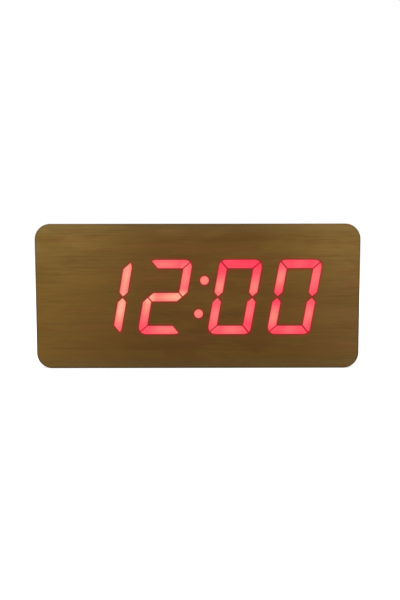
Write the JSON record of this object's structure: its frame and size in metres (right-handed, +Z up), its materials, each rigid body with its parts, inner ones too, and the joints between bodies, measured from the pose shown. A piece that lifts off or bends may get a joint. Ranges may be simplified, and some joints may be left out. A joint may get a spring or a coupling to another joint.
{
  "type": "wooden led desk clock",
  "caption": "Rounded wood block clock with slanted glowing seven-segment figures in front and a recessed rear cover with battery door, push buttons, sound switch and power inlet.",
  "frame": {"origin": "middle of the flat base", "axes": "+X to the right seen from the front, +Y towards the rear cover, +Z up"},
  "size_m": [0.208, 0.042, 0.093],
  "materials": {
    "wood_skin": "satin wood-grain skin, olive brown, grain along the width",
    "glow_lens": "translucent moulding, lit pink-red from behind",
    "mask_black": "matt black moulding",
    "reflector_white": "white moulding",
    "circuit_board": "green solder mask on glass epoxy",
    "chip_black": "moulded epoxy",
    "connector_cream": "cream nylon",
    "ribbon_grey": "ribbed grey insulation",
    "bare_steel": "zinc plated steel",
    "contact_nickel": "nickel plated spring steel",
    "screw_black": "black zinc plated steel",
    "cover_black": "fine moulded texture, black",
    "control_black": "smooth moulded black",
    "switch_black": "moulded switch body",
    "cell_sleeve": "printed sleeve, plain blue",
    "capacitor_sleeve": "shrink sleeve, dark blue",
    "lead_red": "red insulation",
    "lead_black": "black insulation"
  },
  "bodies": {
    "clock": {"wooden_case": "wood_skin", "front_skin": "wood_skin", "digit_1_lens": "glow_lens", "digit_2_lens": "glow_lens", "digit_3_lens": "glow_lens", "digit_4_lens": "glow_lens", "colon_lens": "glow_lens", "segment_mask": "mask_black", "display_reflector": "reflector_white", "display_board": "circuit_board", "control_board": "circuit_board", "display_driver_chip": "chip_black", "control_chip": "chip_black", "buzzer": "chip_black", "display_header": "connector_cream", "control_header": "connector_cream", "ribbon_cable": "ribbon_grey", "display_screw_1": "bare_steel", "display_screw_2": "bare_steel", "display_screw_3": "bare_steel", "display_screw_4": "bare_steel", "board_screw_1": "bare_steel", "board_screw_2": "bare_steel", "crystal": "bare_steel", "microphone": "bare_steel", "sound_switch": "bare_steel", "contact_positive": "contact_nickel", "contact_link_1": "contact_nickel", "contact_link_2": "contact_nickel", "contact_link_3": "contact_nickel", "contact_negative": "contact_nickel", "battery_spring_1": "contact_nickel", "battery_spring_2": "contact_nickel", "battery_spring_3": "contact_nickel", "battery_spring_4": "contact_nickel", "cover_screw_1": "screw_black", "cover_screw_2": "screw_black", "cover_screw_3": "screw_black", "cover_screw_4": "screw_black", "rear_cover": "cover_black", "power_jack": "control_black", "set_switch": "switch_black", "up_switch": "switch_black", "down_switch": "switch_black", "battery_cell_1": "cell_sleeve", "battery_cell_2": "cell_sleeve", "battery_cell_3": "cell_sleeve", "battery_cell_4": "cell_sleeve", "capacitor": "capacitor_sleeve", "battery_lead_positive": "lead_red", "battery_lead_negative": "lead_black"},
    "set_button": {"set_button": "control_black", "set_plunger": "control_black"},
    "up_button": {"up_button": "control_black", "up_plunger": "control_black"},
    "down_button": {"down_button": "control_black", "down_plunger": "control_black"},
    "sound_switch_knob": {"sound_switch_knob": "control_black"},
    "battery_door": {"battery_door": "cover_black"}
  },
  "joints": [
    {"name": "set_press", "type": "slide", "parent": "clock", "child": "set_button", "axis": [0, -1, 0], "range_m": [0, 0.0005], "stiffness_N_per_m": 3000},
    {"name": "up_press", "type": "slide", "parent": "clock", "child": "up_button", "axis": [0, -1, 0], "range_m": [0, 0.0005], "stiffness_N_per_m": 3000},
    {"name": "down_press", "type": "slide", "parent": "clock", "child": "down_button", "axis": [0, -1, 0], "range_m": [0, 0.0005], "stiffness_N_per_m": 3000},
    {"name": "sound_slide", "type": "slide", "parent": "clock", "child": "sound_switch_knob", "axis": [1, 0, 0], "range_m": [0, 0.002]},
    {"name": "door_hinge", "type": "hinge", "parent": "clock", "child": "battery_door", "pos_m": [0.03185, 0.02, 0.0229], "axis": [-1, 0, 0], "range_deg": [0, 80]}
  ]
}
